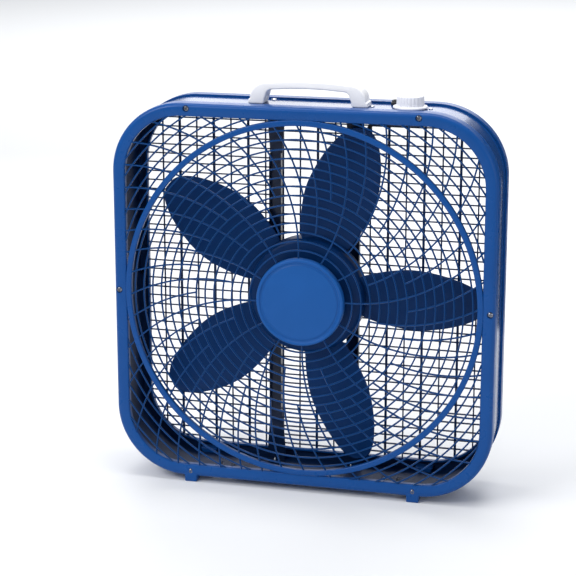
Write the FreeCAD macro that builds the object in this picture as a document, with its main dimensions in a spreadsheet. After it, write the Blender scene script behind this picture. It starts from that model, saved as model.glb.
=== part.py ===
import FreeCAD, Part
import math
import os
import Sketcher
from FreeCAD import Placement, Rotation, Vector

# A 20-inch box fan. Model axes: +X to the right, +Y to the back, +Z up. The origin is on the ground under
# the middle of the fan. Most pieces are drawn about the fan's own axis: x to the right, z up from the
# axis, and y as depth behind the front face of the bezel. Their Placement then moves them to the ground.

dimensions = {
    # whole fan
    "fan_half": 262,             # half of the square outline
    "corner_round": 97,          # outline corner radius
    "body_depth": 106,           # front bezel face to rear bezel face
    "foot_drop": 8,              # foot below the outline
    "badge_proud": 4,            # badge lip in front of the bezel face
    # bezels
    "bezel_wall": 2.4,
    "bezel_face": 3,
    "flange_depth": 22,
    "opening_half": 244.5,
    "return_depth": 9,           # inner edge turned back
    "return_wall": 2.2,
    "face_bead": 5,              # rounding of the face's outer edge
    "inner_bead": 3,             # rounding of the face's inner edge
    "screw_side": 255.2,         # screw circle centres from the axis
    "screw_along": 156.4,
    "dimple_round": 4.6,
    "dimple_depth": 1.9,
    "bezel_hole_round": 2.1,
    "foot_top_width": 25,
    "foot_bottom_width": 17,
    "foot_depth": 18,
    # steel band
    "sheet_thickness": 0.8,
    "band_gap": 0.25,            # between band and bezel
    "lip_width": 10,             # edge turned in, takes the bezel screws
    "lip_hole_round": 1.75,
    "vent_length": 26,
    "vent_width": 6,
    "vent_near": 108,
    "vent_far": 128,
    "vent_depth": 45,
    # guards
    "hub_plate_round": 60.5,
    "ring_inner": 238,
    "ring_outer": 246,
    "ring_depth": 6,
    "rib_width": 2,
    "rib_depth": 3.5,
    "rib_pitch": 12.43,
    "rib_first": 70.8,
    "guard_inset": 0.6,
    "guard_rim": 1.2,
    "swirl_start": 76,           # where a spoke leaves the radial direction
    "swirl_round": 235,          # radius of a spoke's arc
    "grid_column": 24.7,
    "grid_row": 12.9,
    "grid_thin": 1.8,
    "grid_heavy": 3.2,
    "grid_depth": 3.5,
    "grid_front": 99.5,
    # motor
    "motor_middle": 75,
    "shaft_round": 4,
    "shaft_front": 36,
    "shaft_back": 97,
    "shaft_flat": 0.8,
    "bush_clearance": 0.03,
    "bush_round": 7,
    "stator_round": 45,
    "stator_bore": 25.3,
    "stack_half": 9,
    "core_round": 25,
    "bolt_circle": 34,
    "bolt_round": 1.8,
    "coil_inner": 29.5,
    "coil_outer": 40,
    "coil_reach": 15,
    "ear_front": 84.6,
    "ear_thickness": 1.3,
    # struts
    "strut_x": 55,
    "strut_half": 8.5,
    "strut_flare": 12.5,
    "strut_front": 86,
    "strut_sheet": 1.2,
    "strut_flange": 7,
    "strut_straight": 185,
    "strut_tab_front": 70,
    "strut_screw_depth": 76,
    "motor_screw_up": 20,
    # propeller
    "hub_round": 80,
    "hub_front": 30,
    "hub_back": 60,
    "hub_wall": 2.4,
    "boss_round": 11,
    "blade_middle": 46,
    "blade_tip": 243,
    "blade_thickness": 2.2,
    "blade_camber": 5,
    # handle
    "handle_half": 82,
    "handle_grip_half": 60,
    "handle_height": 32,
    "handle_under": 22,
    "handle_front": 38,
    "handle_width": 28,
    "handle_screw_x": 70,
    # switch and knob
    "knob_x": 136,
    "knob_depth": 52,
    "knob_round": 18.7,
    "skirt_round": 23,
    "knob_height": 17.5,
    "spindle_round": 3,
    "switch_half": 15,
    "switch_height": 14,
    "cover_left": 88,
    "cover_right": 157,
    "cover_front": 32,
    "cover_back": 84,
    "cover_height": 22,
    "cover_screw_left": 85.4,
    "cover_screw_right": 163,
    # lead and gland
    "gland_x": 112,
    "gland_depth": 76,
    "gland_hole": 4.4,
    "gland_head": 6.5,
    "cord_bore": 3.4,
    "lead_round": 3,
}

os.makedirs("parts", exist_ok=True)
doc = FreeCAD.newDocument("BoxFan")
sheet = doc.addObject("Spreadsheet::Sheet", "dims")
for row, (alias, size) in enumerate(dimensions.items(), start=1):
    sheet.set(f"A{row}", alias)
    sheet.set(f"B{row}", str(size))
    sheet.setAlias(f"B{row}", alias)
doc.recompute()

sub_parts = []

# Places that several pieces share, as expressions on the sheet.
front_y = "(dims.badge_proud - dims.body_depth) / 2"
axis_z = "(dims.fan_half + dims.foot_drop)"
band_half = "(dims.fan_half - dims.bezel_wall - dims.band_gap)"
band_inside = f"({band_half} - dims.sheet_thickness)"
band_front = "(dims.bezel_face + 0.3)"
band_back = f"(dims.body_depth - {band_front})"
top_z = f"({axis_z} + {band_half})"
opening_round = "(dims.corner_round - dims.fan_half + dims.opening_half)"
band_round = f"(dims.corner_round - dims.fan_half + {band_half})"
knob_y = f"({front_y} + dims.knob_depth)"


def value(expression):
    return float(sheet.evalExpression(str(expression)))


def place(piece, x="0", y=front_y, z=axis_z, turn=None):
    if turn is not None:
        piece.Placement = Placement(Vector(), turn)
    for axis, expression in (("x", x), ("y", y), ("z", z)):
        piece.setExpression(f"Placement.Base.{axis}", expression)


def keep(piece, label):
    piece.Label = label
    sub_parts.append(piece)
    return piece


# ---- sketches -------------------------------------------------------------------------------------------

def new_body(name):
    return doc.addObject("PartDesign::Body", name)


def sketch(body, plane, offset="0"):
    drawing = body.newObject("Sketcher::SketchObject", f"{body.Name}_sketch")
    support = next(f for f in body.Origin.OriginFeatures if f.Role == plane)
    drawing.AttachmentSupport = [(support, "")]
    drawing.MapMode = "FlatFace"
    # the XZ plane looks towards -Y, so a depth behind it is a negative offset
    sign = "-" if plane == "XZ_Plane" else ""
    drawing.setExpression("AttachmentOffset.Base.z", f"{sign}({offset})")
    return drawing


def pin(drawing, geometry, point, x, y):
    for kind, axis, expression in (("DistanceX", -2, x), ("DistanceY", -1, y)):
        size = value(expression)
        if abs(size) < 1e-9:
            drawing.addConstraint(Sketcher.Constraint("PointOnObject", geometry, point, axis))
        elif size > 0:
            index = drawing.addConstraint(Sketcher.Constraint(kind, -1, 1, geometry, point, size))
            drawing.setExpression(f"Constraints[{index}]", f"{expression}")
        else:
            index = drawing.addConstraint(Sketcher.Constraint(kind, geometry, point, -1, 1, -size))
            drawing.setExpression(f"Constraints[{index}]", f"-({expression})")


def outline(drawing, points):
    corners = [Vector(value(x), value(y), 0) for x, y in points]
    first = drawing.GeometryCount
    count = len(points)
    for i in range(count):
        drawing.addGeometry(Part.LineSegment(corners[i], corners[(i + 1) % count]))
    for i in range(count):
        following = first + (i + 1) % count
        drawing.addConstraint(Sketcher.Constraint("Coincident", first + i, 2, following, 1))
    for i, (x, y) in enumerate(points):
        pin(drawing, first + i, 1, x, y)
    return drawing


def rectangle(drawing, left, low, right, high):
    return outline(drawing, ((left, low), (right, low), (right, high), (left, high)))


def circle(drawing, x, y, radius):
    index = drawing.addGeometry(Part.Circle(Vector(value(x), value(y), 0), Vector(0, 0, 1), value(radius)))
    size = drawing.addConstraint(Sketcher.Constraint("Radius", index, value(radius)))
    drawing.setExpression(f"Constraints[{size}]", radius)
    pin(drawing, index, 3, x, y)
    return drawing


def rounded_square(drawing, half, radius):
    reach, bend = value(half), value(radius)
    flat = reach - bend
    first = drawing.GeometryCount
    for x0, y0, x1, y1 in ((-flat, -reach, flat, -reach), (reach, -flat, reach, flat),
                           (flat, reach, -flat, reach), (-reach, flat, -reach, -flat)):
        drawing.addGeometry(Part.LineSegment(Vector(x0, y0, 0), Vector(x1, y1, 0)))
    for x, y, start in ((flat, -flat, -90), (flat, flat, 0), (-flat, flat, 90), (-flat, -flat, 180)):
        whole = Part.Circle(Vector(x, y, 0), Vector(0, 0, 1), bend)
        drawing.addGeometry(Part.ArcOfCircle(whole, math.radians(start), math.radians(start + 90)))
    for side in range(4):
        line, arc, following = first + side, first + 4 + side, first + (side + 1) % 4
        drawing.addConstraint(Sketcher.Constraint("Tangent", line, 2, arc, 1))
        drawing.addConstraint(Sketcher.Constraint("Tangent", arc, 2, following, 1))
    for side in range(3):
        drawing.addConstraint(Sketcher.Constraint("Equal", first + 4 + side, first + 5 + side))
    drawing.addConstraint(Sketcher.Constraint("Horizontal", first))
    drawing.addConstraint(Sketcher.Constraint("Vertical", first + 1))
    drawing.addConstraint(Sketcher.Constraint("Horizontal", first + 2))
    drawing.addConstraint(Sketcher.Constraint("Vertical", first + 3))
    sizes = (("DistanceY", first, 1, -1, 1, reach), ("DistanceX", -1, 1, first + 1, 1, reach),
             ("DistanceY", -1, 1, first + 2, 1, reach), ("DistanceX", first + 3, 1, -1, 1, reach))
    for size in sizes:
        index = drawing.addConstraint(Sketcher.Constraint(*size))
        drawing.setExpression(f"Constraints[{index}]", half)
    index = drawing.addConstraint(Sketcher.Constraint("Radius", first + 4, bend))
    drawing.setExpression(f"Constraints[{index}]", radius)
    return drawing


# ---- features -------------------------------------------------------------------------------------------

def pad(drawing, length, backwards=False):
    body = drawing.getParentGeoFeatureGroup()
    feature = body.newObject("PartDesign::Pad", f"{body.Name}_pad")
    feature.Profile = drawing
    feature.setExpression("Length", length)
    feature.Reversed = backwards
    return feature


def pocket(drawing, length, backwards=False):
    body = drawing.getParentGeoFeatureGroup()
    feature = body.newObject("PartDesign::Pocket", f"{body.Name}_pocket")
    feature.Profile = drawing
    feature.setExpression("Length", length)
    feature.Reversed = backwards
    return feature


def revolve(body, points, plane="XY_Plane"):
    drawing = outline(sketch(body, plane), points)
    feature = body.newObject("PartDesign::Revolution", f"{body.Name}_turned")
    feature.Profile = drawing
    feature.ReferenceAxis = (drawing, ["V_Axis"])
    feature.Angle = 360
    return feature


def around_axis(body, feature, count, role):
    pattern = body.newObject("PartDesign::PolarPattern", f"{body.Name}_pattern")
    pattern.Originals = [feature]
    pattern.Axis = (next(f for f in body.Origin.OriginFeatures if f.Role == role), [""])
    pattern.Angle = 360
    pattern.Occurrences = count
    body.Tip = pattern
    return pattern


def round_edges(body, base, radius, wanted):
    doc.recompute()
    names = [f"Edge{i}" for i, edge in enumerate(base.Shape.Edges, start=1) if wanted(edge)]
    feature = body.newObject("PartDesign::Fillet", f"{body.Name}_fillet")
    feature.Base = (base, names)
    feature.setExpression("Radius", radius)
    return feature


def turned(label, points, **where):
    body = new_body(label)
    revolve(body, points)
    place(body, **where)
    return keep(body, label)


# ---- primitives and free shapes -------------------------------------------------------------------------

def solid(kind, name, x="0", y="0", z="0", turn=None, **sizes):
    piece = doc.addObject(f"Part::{kind}", name)
    for size, expression in sizes.items():
        piece.setExpression(size, expression)
    place(piece, x, y, z, turn)
    return piece


def cut(name, base, tool):
    piece = doc.addObject("Part::Cut", name)
    piece.Base, piece.Tool = base, tool
    return piece


def joined(name, pieces):
    piece = doc.addObject("Part::MultiFuse", name)
    piece.Shapes = pieces
    return piece


def free_shape(label, shape, x="0", y=front_y, z=axis_z):
    piece = doc.addObject("Part::Feature", label)
    piece.Shape = Part.makeCompound(shape.Solids)
    place(piece, x, y, z)
    return keep(piece, label)


def drum(radius, low, high, middle=(0, 0), along="y"):
    # a cylinder along the depth, or upwards, between two stations
    if along == "y":
        return Part.makeCylinder(radius, high - low, Vector(middle[0], low, middle[1]), Vector(0, 1, 0))
    return Part.makeCylinder(radius, high - low, Vector(middle[0], middle[1], low), Vector(0, 0, 1))


def block(low, high):
    low, high = Vector(*low), Vector(*high)
    size = high - low
    return Part.makeBox(size.x, size.y, size.z, low)


def screw(shank, length, head, height):
    # pan head screw, head upwards, seat at z = 0, with a cross recess
    lower = Part.makeCylinder(head, height * 0.45)
    dome = Part.makeCone(head, head * 0.62, height * 0.55, Vector(0, 0, height * 0.45))
    point = Part.makeCone(shank * 0.3, shank, shank * 1.6, Vector(0, 0, -length))
    body = Part.makeCylinder(shank, length - shank * 1.6, Vector(0, 0, -length + shank * 1.6))
    slot = head * 1.15
    cross = block((-slot / 2, -0.35, height * 0.45), (slot / 2, 0.35, height + 1))
    other = cross.copy()
    other.rotate(Vector(), Vector(0, 0, 1), 90)
    return lower.multiFuse([dome, point, body]).cut(cross.fuse(other)).removeSplitter()


def hex_nut(across, hole, height):
    corner = across / math.sqrt(3)
    points = [Vector(corner * math.cos(math.radians(60 * i)), corner * math.sin(math.radians(60 * i)), 0)
              for i in range(6)]
    prism = Part.Face(Part.makePolygon(points + points[:1])).extrude(Vector(0, 0, height))
    return prism.cut(Part.makeCylinder(hole, height))


def repeated(shape, places):
    # places are (position, direction that the shape's +Z takes)
    copies = []
    for position, direction in places:
        copy = shape.copy()
        turn = Rotation(Vector(0, 0, 1), Vector(*direction))
        copy.Placement = Placement(Vector(*position), turn)
        copies.append(copy)
    return Part.makeCompound(copies)


# ---- steel band -----------------------------------------------------------------------------------------

screw_places = [(sx * value("dims.screw_along"), sz * value("dims.screw_side"))
                for sx in (-1, 1) for sz in (-1, 1)]
screw_places += [(-value("dims.screw_side"), 0), (value("dims.screw_side"), 0)]
screw_spots = [(f"{sx} * dims.screw_along", f"{sz} * dims.screw_side") for sx in (-1, 1) for sz in (-1, 1)]
screw_spots += [("-dims.screw_side", "0"), ("dims.screw_side", "0")]


def make_band():
    body = new_body("housing_band")
    inside_round = f"({band_round} - dims.sheet_thickness)"
    lip_half = f"({band_half} - dims.lip_width)"
    lip_round = f"({band_round} - dims.lip_width)"
    wall = sketch(body, "XZ_Plane", band_front)
    rounded_square(wall, band_half, band_round)
    rounded_square(wall, band_inside, inside_round)
    pad(wall, f"{band_back} - {band_front}", True)
    for start in (band_front, f"({band_back} - dims.sheet_thickness)"):
        lip = sketch(body, "XZ_Plane", start)
        rounded_square(lip, band_half, band_round)
        rounded_square(lip, lip_half, lip_round)
        pad(lip, "dims.sheet_thickness", True)
        holes = sketch(body, "XZ_Plane", start)
        for x, z in screw_spots:
            circle(holes, x, z, "dims.lip_hole_round")
        pocket(holes, "dims.sheet_thickness + 0.1")
    top = sketch(body, "XY_Plane", f"{band_half} + 1")
    for side in (-1, 1):
        circle(top, f"{side} * dims.handle_screw_x", "dims.handle_front + dims.handle_width / 2", "2")
        circle(top, f"{side} * dims.strut_x", "dims.strut_screw_depth", "1.8")
    for x in ("dims.cover_screw_left", "dims.cover_screw_right"):
        circle(top, x, "dims.knob_depth", "1.6")
    circle(top, "dims.knob_x", "dims.knob_depth", "4.9")
    rectangle(top, "dims.gland_x - dims.gland_hole", "dims.gland_depth - dims.gland_hole",
              "dims.gland_x + dims.gland_hole", "dims.gland_depth + dims.gland_hole")
    pocket(top, "3")
    bottom = sketch(body, "XY_Plane", f"-{band_half} + 2")
    for side in (-1, 1):
        circle(bottom, f"{side} * dims.strut_x", "dims.strut_screw_depth", "1.8")
        for x in ("dims.vent_near", "dims.vent_far"):
            edges = sorted((f"{side} * {x} - dims.vent_width / 2", f"{side} * {x} + dims.vent_width / 2"),
                           key=value)
            rectangle(bottom, edges[0], "dims.vent_depth - dims.vent_length / 2",
                      edges[1], "dims.vent_depth + dims.vent_length / 2")
    pocket(bottom, "3")
    place(body)
    return keep(body, "housing_band")


# ---- bezels ---------------------------------------------------------------------------------------------

def make_bezel(label, y=front_y, turn=None):
    body = new_body(label)
    outer = rounded_square(sketch(body, "XZ_Plane"), "dims.fan_half", "dims.corner_round")
    last = pad(outer, "dims.flange_depth", True)
    outer_edge = value("dims.fan_half")
    round_edges(body, last, "dims.face_bead",
                lambda e: e.BoundBox.YMax < 0.01 and is_on_square(e, outer_edge, "dims.corner_round"))
    feet = sketch(body, "XZ_Plane")
    ground = "-(dims.fan_half + dims.foot_drop)"
    for side in (-1, 1):
        middle = f"{side} * dims.screw_along"
        foot = [(f"{middle} + {hand} * dims.{width} / 2", z)
                for hand, width, z in ((-1, "foot_bottom_width", ground), (1, "foot_bottom_width", ground),
                                       (1, "foot_top_width", "-dims.fan_half"), (1, "foot_top_width", "-252"),
                                       (-1, "foot_top_width", "-252"), (-1, "foot_top_width", "-dims.fan_half"))]
        outline(feet, foot)
    last = pad(feet, "dims.foot_depth", True)
    round_edges(body, last, "1.5", lambda e: e.BoundBox.ZMax < value(ground) + 0.01)
    cavity = sketch(body, "XZ_Plane", "dims.bezel_face")
    rounded_square(cavity, "(dims.fan_half - dims.bezel_wall)", "(dims.corner_round - dims.bezel_wall)")
    pocket(cavity, "dims.flange_depth")
    opening = rounded_square(sketch(body, "XZ_Plane"), "dims.opening_half", opening_round)
    pocket(opening, "dims.bezel_face")
    inner = sketch(body, "XZ_Plane")
    rounded_square(inner, "(dims.opening_half + dims.return_wall)", f"({opening_round} + dims.return_wall)")
    rounded_square(inner, "dims.opening_half", opening_round)
    last = pad(inner, "dims.return_depth", True)
    inner_edge = value("dims.opening_half")
    round_edges(body, last, "dims.inner_bead",
                lambda e: e.BoundBox.YMax < 0.01 and is_on_square(e, inner_edge, opening_round))
    dimples = sketch(body, "XZ_Plane")
    holes = sketch(body, "XZ_Plane")
    for x, z in screw_spots:
        circle(dimples, x, z, "dims.dimple_round")
        circle(holes, x, z, "dims.bezel_hole_round")
    pocket(dimples, "dims.dimple_depth")
    pocket(holes, "dims.bezel_face")
    place(body, y=y, turn=turn)
    return keep(body, label)


def is_on_square(edge, half, radius):
    # every point of the edge lies on the rounded square of this half width
    bend = value(radius)
    flat = half - bend
    for point in edge.discretize(5):
        x, z = abs(point.x), abs(point.z)
        if x > flat and z > flat:
            gap = abs(math.hypot(x - flat, z - flat) - bend)
        else:
            gap = min(abs(x - half), abs(z - half))
        if gap > 0.01:
            return False
    return True


# ---- guards ---------------------------------------------------------------------------------------------

def rounded_face(half, radius):
    flat = half - radius
    corners = ((flat, flat, 0), (-flat, flat, 90), (-flat, -flat, 180), (flat, -flat, 270))
    edges = []
    points = []
    for x, z, start in corners:
        ends = []
        for angle in (start, start + 45, start + 90):
            turn = math.radians(angle)
            ends.append(Vector(x + radius * math.cos(turn), 0, z + radius * math.sin(turn)))
        edges.append(Part.Arc(*ends).toShape())
        points.append(ends)
    for i in range(4):
        edges.append(Part.makeLine(points[i][2], points[(i + 1) % 4][0]))
    return Part.Face(Part.Wire(Part.sortEdges(edges)[0]))


def polar(radius, angle):
    return Vector(radius * math.cos(angle), 0, radius * math.sin(angle))


def swirl_angle(radius, shift):
    # angle of a spoke's edge at this radius, for a spoke that starts along +X; shift moves the edge sideways
    start, bend = value("dims.swirl_start"), value("dims.swirl_round")
    away = math.hypot(start, bend)
    edge = bend - shift
    spread = (radius ** 2 + away ** 2 - edge ** 2) / (2 * radius * away)
    return math.atan2(bend, start) - math.acos(spread)


def swirl_cell(inner, outer, first, second):
    # the open space between two ribs and two spokes
    half = value("dims.rib_width") / 2
    middle = (inner + outer) / 2

    def edge(radius, spoke, shift):
        return polar(radius, spoke + swirl_angle(radius, shift))

    a, b = edge(inner, first, half), edge(outer, first, half)
    c, d = edge(outer, second, -half), edge(inner, second, -half)
    near = (first + swirl_angle(inner, half) + second + swirl_angle(inner, -half)) / 2
    far = (first + swirl_angle(outer, half) + second + swirl_angle(outer, -half)) / 2
    wire = Part.Wire([Part.Arc(a, edge(middle, first, half), b).toShape(),
                      Part.Arc(b, polar(outer, far), c).toShape(),
                      Part.Arc(c, edge(middle, second, -half), d).toShape(),
                      Part.Arc(d, polar(inner, near), a).toShape()])
    return Part.Face(wire)


def spokes_at(radius):
    # the spokes double where the ribs get long: 12, then 24, then 48
    first = value("dims.rib_first")
    pitch = value("dims.rib_pitch")
    if radius < first + 2 * pitch - 1:
        count = 12
    elif radius < first + 6 * pitch - 1:
        count = 24
    else:
        count = 48
    return [math.radians(2 + i * 360 / count) for i in range(count)]


def swirl_cells():
    half = value("dims.rib_width") / 2
    pitch = value("dims.rib_pitch")
    ring_in, ring_out = value("dims.ring_inner"), value("dims.ring_outer")
    ribs = [value("dims.rib_first") + i * pitch for i in range(14)]
    bands = [(value("dims.hub_plate_round"), ribs[0] - half)]
    bands += [(ribs[i] + half, ribs[i + 1] - half) for i in range(13)]
    bands.append((ribs[-1] + half, ring_in))
    outer_ribs = [(ring_in + ring_out) / 2 + (i + 1) * pitch for i in range(5)]
    bands.append((ring_out, outer_ribs[0] - half))
    bands += [(outer_ribs[i] + half, outer_ribs[i + 1] - half) for i in range(4)]
    bands.append((outer_ribs[-1] + half, outer_ribs[-1] + pitch))
    cells = []
    for inner, outer in bands:
        spokes = spokes_at(inner)
        for i, spoke in enumerate(spokes):
            following = spokes[i + 1] if i + 1 < len(spokes) else spokes[0] + 2 * math.pi
            cells.append(swirl_cell(inner, outer, spoke, following))
    return cells


def grid_cells():
    column, line = value("dims.grid_column"), value("dims.grid_row")
    thin, heavy = value("dims.grid_thin"), value("dims.grid_heavy")
    half = value("dims.opening_half")
    columns = [(n * column, heavy if n % 2 == 0 else thin) for n in range(-9, 10)]
    columns = [(-half - thin, 0)] + columns + [(half + thin, 0)]
    lines = [((n + 0.5) * line, thin) for n in range(-19, 19)]
    lines = [(-half - thin, 0)] + lines + [(half + thin, 0)]
    cells = []
    for (x0, wide0), (x1, wide1) in zip(columns, columns[1:]):
        for (z0, high0), (z1, high1) in zip(lines, lines[1:]):
            left, right = x0 + wide0 / 2, x1 - wide1 / 2
            low, high = z0 + high0 / 2, z1 - high1 / 2
            corners = [Vector(left, 0, low), Vector(right, 0, low), Vector(right, 0, high), Vector(left, 0, high)]
            cells.append(Part.Face(Part.makePolygon(corners + corners[:1])))
    return cells


def grille_plate(cells, depth):
    # a flat plate with an open cell for every gap between the bars
    gap = 0.1
    half = value("dims.opening_half") - gap
    bend = value(opening_round) - gap
    rim = value("dims.guard_rim")
    clear = rounded_face(half - rim, bend - rim)
    plate = rounded_face(half, bend)
    holes = []
    for cell in cells:
        box = cell.BoundBox
        if is_well_inside(box, half - rim, bend - rim):
            holes.append(cell.OuterWire)
            continue
        for piece in cell.common(clear).Faces:
            if piece.Area > 4:
                holes.append(piece.OuterWire)
    face = Part.Face([plate.OuterWire] + holes)
    face.validate()
    return face.extrude(Vector(0, depth, 0))


def is_well_inside(box, half, bend):
    flat = half - bend
    for x in (box.XMin, box.XMax):
        for z in (box.ZMin, box.ZMax):
            past_x, past_z = abs(x) - flat, abs(z) - flat
            if max(abs(x), abs(z)) > half:
                return False
            if past_x > 0 and past_z > 0 and math.hypot(past_x, past_z) > bend:
                return False
    return True


def make_front_guard():
    plate = grille_plate(swirl_cells(), value("dims.rib_depth"))
    plate.translate(Vector(0, value("dims.guard_inset"), 0))
    ring = drum(value("dims.ring_outer"), 0, value("dims.ring_depth"))
    ring = ring.cut(drum(value("dims.ring_inner"), 0, value("dims.ring_depth")))
    gap = 0.1
    window = rounded_face(value("dims.opening_half") - gap, value(opening_round) - gap)
    ring = ring.common(window.extrude(Vector(0, value("dims.ring_depth"), 0)))
    return free_shape("front_guard", plate.fuse(ring))


def make_rear_guard():
    plate = grille_plate(grid_cells(), value("dims.grid_depth"))
    plate.translate(Vector(0, value("dims.grid_front"), 0))
    return free_shape("rear_guard", plate)


# ---- struts ---------------------------------------------------------------------------------------------

def make_strut(label, x):
    body = new_body(label)
    end = f"({band_inside} - 0.1)"
    web = sketch(body, "XZ_Plane", "dims.strut_front")
    half, flare = "dims.strut_half", "dims.strut_flare"
    bend, wide = "dims.strut_straight", "(dims.strut_straight + 50)"
    right = ((half, f"-{bend}"), (half, bend), (flare, wide), (flare, end))
    left = tuple((f"-{px}", pz) for px, pz in reversed(right))
    low_left = ((f"-{flare}", f"-{end}"),)
    low_right = ((flare, f"-{end}"), (flare, f"-{wide}"))
    points = right + left[:3] + ((f"-{half}", f"-{bend}"), (f"-{flare}", f"-{wide}")) + low_left + low_right
    outline(web, points)
    pad(web, "dims.strut_sheet", True)
    flanges = sketch(body, "XZ_Plane", "dims.strut_front - dims.strut_flange")
    for low, high in (("30", bend), (f"-{bend}", "-30")):
        rectangle(flanges, f"-{half}", low, f"-({half} - dims.strut_sheet)", high)
        rectangle(flanges, f"{half} - dims.strut_sheet", low, half, high)
    pad(flanges, "dims.strut_flange", True)
    tabs = sketch(body, "XZ_Plane", "dims.strut_tab_front")
    rectangle(tabs, f"-{flare}", f"{end} - dims.strut_sheet", flare, end)
    rectangle(tabs, f"-{flare}", f"-{end}", flare, f"-{end} + dims.strut_sheet")
    pad(tabs, "dims.strut_front - dims.strut_tab_front", True)
    for plane_z, away in ((f"{end} + 1", False), (f"-({end} + 1)", True)):
        tap = sketch(body, "XY_Plane", plane_z)
        circle(tap, "0", "dims.strut_screw_depth", "1.65")
        pocket(tap, "3", away)
    bolts = sketch(body, "XZ_Plane", "dims.strut_front")
    for side in (-1, 1):
        circle(bolts, "0", f"{side} * dims.motor_screw_up", "2.1")
    pocket(bolts, "dims.strut_sheet")
    place(body, x=x)
    return keep(body, label)


# ---- motor ----------------------------------------------------------------------------------------------

def from_middle(points, side):
    # profile points (radius, distance from the motor's middle), for the front (-1) or back (+1) half
    return [(radius, f"dims.motor_middle + {side} * ({away})") for radius, away in points]


def make_shield(label, side, ears):
    body = new_body(label)
    seat = "dims.bush_round + 0.05"
    rim = "dims.stator_round"
    profile = ((f"{rim} - 1.6", "9.1"), (rim, "9.1"), (rim, "14"), ("38.5", "17.6"), ("10", "17.6"),
               ("10", "21"), (seat, "21"), (seat, "14.5"), ("10", "14.5"), ("10", "16"), ("37.7", "16"),
               (f"{rim} - 1.6", "13"))
    revolve(body, from_middle(profile, side))
    if ears:
        drawing = sketch(body, "XZ_Plane", "dims.ear_front")
        for hand in (-1, 1):
            corners = [(f"{hand} * {x}", z) for x, z in (("42.9", "-10"), ("47", "-27"), ("61.5", "-27"),
                                                         ("61.5", "27"), ("47", "27"), ("42.9", "10"))]
            outline(drawing, corners)
        pad(drawing, "dims.ear_thickness", True)
        holes = sketch(body, "XZ_Plane", "dims.ear_front")
        for hand in (-1, 1):
            for up in (-1, 1):
                circle(holes, f"{hand} * dims.strut_x", f"{up} * dims.motor_screw_up", "2.1")
        pocket(holes, "dims.ear_thickness")
    face = "dims.motor_middle - 18" if side < 0 else "dims.motor_middle + 15"
    bolts = sketch(body, "XZ_Plane", face)
    reach = f"dims.bolt_circle * {math.sqrt(0.5):.6f}"
    for hand in (-1, 1):
        for up in (-1, 1):
            circle(bolts, f"{hand} * {reach}", f"{up} * {reach}", "dims.bolt_round + 0.1")
    pocket(bolts, "3")
    place(body)
    return keep(body, label)


def make_stator():
    body = new_body("stator_stack")
    half = "dims.stack_half"
    revolve(body, from_middle((("dims.stator_bore", f"-{half}"), ("dims.stator_round", f"-{half}"),
                               ("dims.stator_round", half), ("dims.stator_bore", half)), 1))
    slot = outline(sketch(body, "XZ_Plane", "dims.motor_middle - 10"),
                   (("24", "-1.2"), ("28", "-1.2"), ("28", "-4"), ("39", "-4"),
                    ("39", "4"), ("28", "4"), ("28", "1.2"), ("24", "1.2")))
    cutter = pocket(slot, "20")
    around_axis(body, cutter, 8, "Y_Axis")
    bolt = circle(sketch(body, "XZ_Plane", "dims.motor_middle - 10"),
                  f"dims.bolt_circle * {math.cos(math.radians(67.5)):.6f}",
                  f"dims.bolt_circle * {math.sin(math.radians(67.5)):.6f}", "dims.bolt_round + 0.1")
    around_axis(body, pocket(bolt, "20"), 4, "Y_Axis")
    place(body, turn=Rotation(Vector(0, 1, 0), 22.5))
    return keep(body, "stator_stack")


def make_windings():
    # four coils, each with two legs through the slots and a bundle over each end of the stack
    middle, half, reach = value("dims.motor_middle"), value("dims.stack_half"), value("dims.coil_reach")
    inner, outer = value("dims.coil_inner"), value("dims.coil_outer") - 2
    span, grip = 22.5, 4
    coils = []
    for quarter in range(4):
        pieces = []
        for start, stop in ((middle - reach, middle - half - 0.3), (middle + half + 0.3, middle + reach)):
            ring = drum(outer, start, stop).cut(drum(inner, start, stop))
            wedge = Part.Face(Part.makePolygon([Vector(0, start, 0), polar_at(60, -span - grip, start),
                                                polar_at(60, span + grip, start), Vector(0, start, 0)]))
            pieces.append(ring.common(wedge.extrude(Vector(0, stop - start, 0))))
        for angle in (-span, span):
            leg = block((inner, middle - half - 0.4, -2.6), (outer - 0.5, middle + half + 0.4, 2.6))
            leg.rotate(Vector(), Vector(0, 1, 0), -angle)
            pieces.append(leg)
        coil = pieces[0].multiFuse(pieces[1:]).removeSplitter()
        coil.rotate(Vector(), Vector(0, 1, 0), 90 * quarter)
        coils.append(coil)
    return free_shape("stator_windings", Part.makeCompound(coils))


def polar_at(radius, degrees, y):
    turn = math.radians(degrees)
    return Vector(radius * math.cos(turn), y, radius * math.sin(turn))


def make_bearings():
    bore = "dims.shaft_round + dims.bush_clearance"
    bush = ((bore, "11.3"), ("dims.bush_round", "11.3"), ("dims.bush_round", "21.4"), (bore, "21.4"))
    turned("front_bush", from_middle(bush, -1))
    turned("rear_bush", from_middle(bush, 1))
    middle, seat = value("dims.motor_middle"), value("dims.bush_round") + 0.1
    felts, washers, retainers = [], [], []
    for side in (-1, 1):
        def ring(inner, outer, near, far):
            ends = sorted((middle + side * near, middle + side * far))
            return drum(outer, *ends).cut(drum(inner, *ends))
        felts.append(ring(seat, 12, 12.1, 14.4))
        retainers.append(ring(seat, 14, 11.3, 12))
        washers.append(ring(value("dims.shaft_round") + 0.05, 7, 10.2, 11))
    free_shape("oil_felts", Part.makeCompound(felts))
    free_shape("bush_retainers", Part.makeCompound(retainers))
    free_shape("thrust_washers", Part.makeCompound(washers))


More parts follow.
